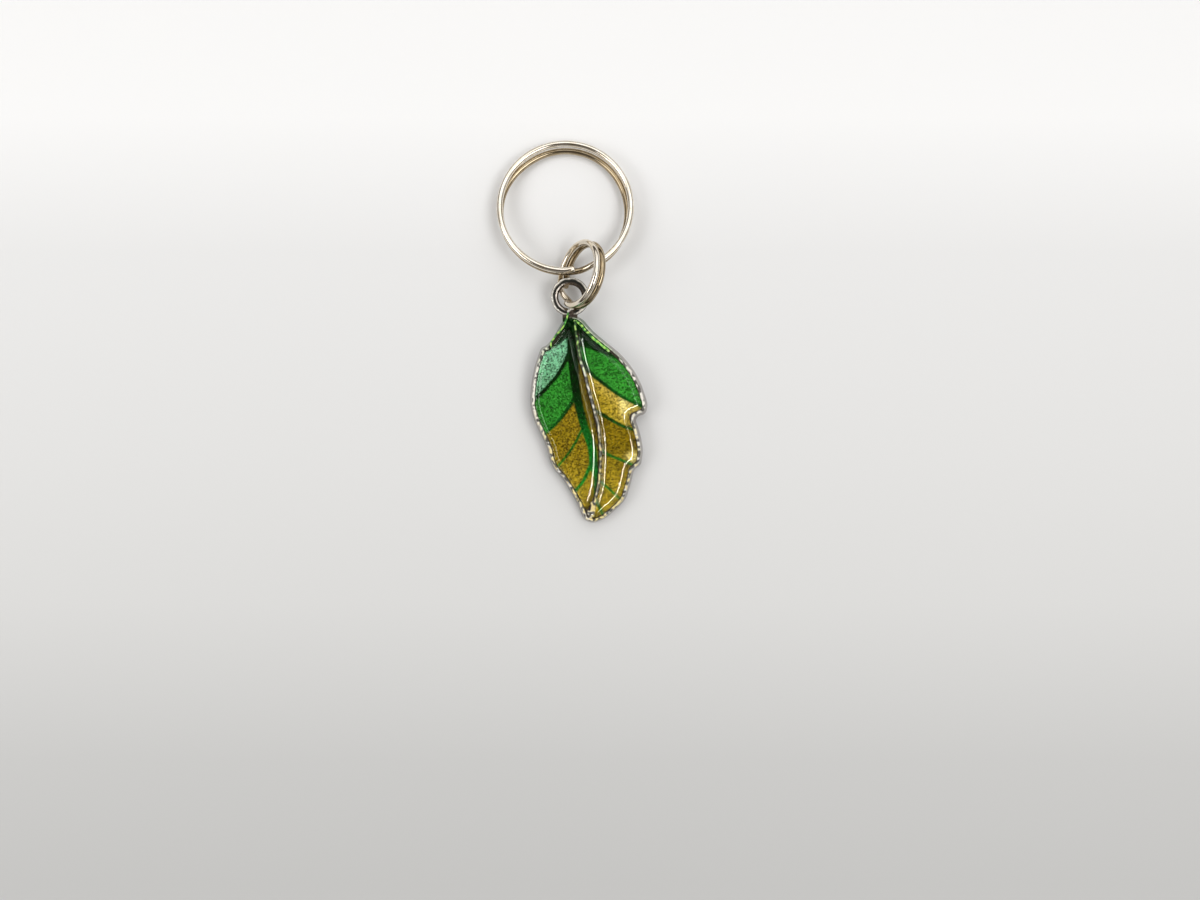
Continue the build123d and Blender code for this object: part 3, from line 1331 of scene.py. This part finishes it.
@dataclass(frozen=True)
class Stage:
    """Pale table, soft lamps and the camera above."""

    table: float = -1.476
    half_size: float = 900.0
    camera_spot: Point3 = (3.54, -24.725, 98.524)
    view_height: float = 93.2
    lens: float = 28.95
    # Painted shade on the table: its colour darkens towards the bottom of the view.
    floor_painted_shade_stops: Stops = (
        (0.02, (0.585, 0.585, 0.578)),
        (0.155, (0.625, 0.625, 0.618)),
        (0.33, (0.745, 0.745, 0.738)),
        (0.50, (0.805, 0.805, 0.80)),
        (0.72, (0.87, 0.87, 0.868)),
        (0.87, WHITE),
    )
    room_strength: float = 1.5
    room_stops: Stops = (
        (0.0, (0.04, 0.03, 0.02)),
        (0.16, (0.06, 0.045, 0.03)),
        (0.34, (0.34, 0.335, 0.33)),
        (0.66, (0.38, 0.38, 0.38)),
        (0.78, WHITE),
    )
    dim_side: Colour = (0.66, 0.65, 0.64)
    shade: Colour = (0.07, 0.06, 0.05)
    shade_side: Point3 = (-0.06, -0.37, 0.92)
    shade_stops: Stops = ((0.82, (0.0, 0.0, 0.0)), (0.86, WHITE))
    windows: tuple[Lamp, ...] = (
        Lamp("window_left", (-258.0, -54.0, 236.0), (240.0, 150.0), 0.3, (1.0, 1.0, 0.99)),
        Lamp("window_right", (157.0, -100.0, 288.0), (220.0, 120.0), 0.3, (1.0, 1.0, 0.99)),
        Lamp("window_far", (20.0, 300.0, 260.0), (600.0, 300.0), 0.3, WHITE),
    )
    gleam_left: Lamp = Lamp("gleam_left", (-248.0, -93.0, 236.0), (230.0, 60.0), 2.2, (1.0, 0.99, 0.95))
    gleam_right: Lamp = Lamp("gleam_right", (137.0, -119.0, 288.0), (230.0, 50.0), 1.7, (1.0, 0.99, 0.95))

    def floor(self) -> None:
        """Makes the table, with painted shade: paler towards the top of the camera's view, darker towards the
        bottom.
        """
        corners = [(-1, -1), (1, -1), (1, 1), (-1, 1)]
        mesh = bpy.data.meshes.new("table")
        spots = [(self.half_size * x * MM, self.half_size * y * MM, self.table * MM) for x, y in corners]
        mesh.from_pydata(spots, [], [(0, 1, 2, 3)])
        table = placed("table", mesh)
        surface = Surface("white_table", {"Roughness": 0.55, "Specular IOR Level": 0.2})
        lower_end = (self.camera_spot[1] - self.view_height / 2) * MM
        slid = surface.math("SUBTRACT", surface.parts("Object")[1], lower_end)
        share = surface.math("DIVIDE", slid, self.view_height * MM, clamp=True)
        surface.drive("Base Color", surface.ramp(share, self.floor_painted_shade_stops))
        mesh.materials.append(surface.material)

    def world(self) -> None:
        """Surrounds the table with a room: dark at the horizon, dimmer at one side, shaded overhead."""
        world = bpy.data.worlds.new("room")
        bpy.context.scene.world = world
        world.use_nodes = True
        graph = Graph(world.node_tree)
        out = graph.add("ShaderNodeOutputWorld")
        glow = graph.add("ShaderNodeBackground")
        place = graph.add("ShaderNodeTexCoord")
        above = graph.add("ShaderNodeVectorMath", operation="DOT_PRODUCT")
        graph.link(place.outputs["Generated"], above.inputs[0])
        put(above, {1: Vector(self.shade_side).normalized()})
        cap = graph.ramp(above.outputs["Value"], self.shade_stops)
        x, _, z = graph.parts("Generated")
        room = graph.ramp(z, self.room_stops)
        right = graph.math("MULTIPLY_ADD", x, 0.9, 0.5, clamp=True)
        room = graph.mix(right, graph.mix(1.0, room, self.dim_side, "MULTIPLY"), room)
        graph.link(graph.mix(cap, room, self.shade), glow.inputs[0])
        put(glow, {1: self.room_strength})
        graph.link(glow.outputs[0], out.inputs[0])

    def gleam(self, domes: list[Object]) -> None:
        """Adds two long lamps, linked to the domes, that draw the lines of light on them.

        Some of their light reaches the print too, through the resin.

        Args:
            domes: The left and the right dome.
        """
        for kind, lit in ((self.gleam_left, domes[1:]), (self.gleam_right, domes)):
            lamp = kind.build()
            clear = bpy.data.collections.new(f"{kind.name}_pieces")
            for piece in lit:
                clear.objects.link(piece)
            lamp.light_linking.receiver_collection = clear
            lamp.visible_transmission = False

    def camera(self) -> None:
        """Places the camera straight above the middle of the frame."""
        data = bpy.data.cameras.new("camera")
        data.lens = self.lens
        data.sensor_width = 36.0
        data.clip_start = 0.001
        data.clip_end = 10.0
        camera = placed("camera", data)
        camera.location = Vector(self.camera_spot) * MM
        bpy.context.scene.camera = camera

    def build(self) -> None:
        """Sets up the stage."""
        self.floor()
        self.world()
        for window in self.windows:
            window.build()
        self.camera()
        bpy.context.scene.view_settings.view_transform = "Standard"


RINGS = (
    WoundRing(
        node="needle_ring", centre=(0.0, 0.0, 0.0), normal=(0.0, 0.11112, 0.99381),
        radius=6.674, jog_angle=-79.0, jog_length=2.1, hand=1, curl=0.12, spread=0.5,
    ),
    WoundRing(
        node="link_ring", centre=(1.631, -7.1218, 1.7800), normal=(-0.80496, 0.14861, 0.57443),
        radius=3.18, jog_angle=125.0, jog_length=1.9, hand=-1,
    ),
)
WIRE = PlatedMetal(
    "warm_nickel_wire", colour=linear(252, 246, 235), deep=linear(216, 200, 172), roughness=0.11,
    grain_scale=4000.0, grain_depth=0.00003, grain_strength=0.12, tinted_and_shaded=True,
    grain_amount=0.5, tone_scale=900.0, tone_amount=1.6, tone_floor=0.6,
)
SKIN = PlatedMetal(
    "gunmetal_plate", colour=linear(205, 197, 188), deep=linear(118, 108, 100), roughness=0.16,
    grain_scale=3500.0, grain_depth=0.00004, grain_strength=0.3, green_from=-0.0148,
)
RAISED = PlatedMetal(
    "grainy_ridge", colour=linear(255, 255, 252), deep=linear(244, 240, 230), roughness=0.42,
    grain_scale=5200.0, grain_depth=0.00006, grain_strength=0.8, tinted_and_shaded=True, metallic=0.5,
)


def main() -> None:
    """Builds the stage and every sub-assembly in order."""
    logging.basicConfig(level=logging.INFO, format="%(name)s %(message)s")
    stage = Stage()
    stage.build()
    wire = WIRE.material()
    for ring in RINGS:
        ring.build(wire)
    LeafCasting().build(SKIN.material(), RAISED.material())
    PrintedCells().build(GlitterPrint().material())
    stage.gleam(ResinDomes().build(ClearResin().material()))
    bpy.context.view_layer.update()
    LOG.info("boxes written")


if __name__ == "__main__":
    main()
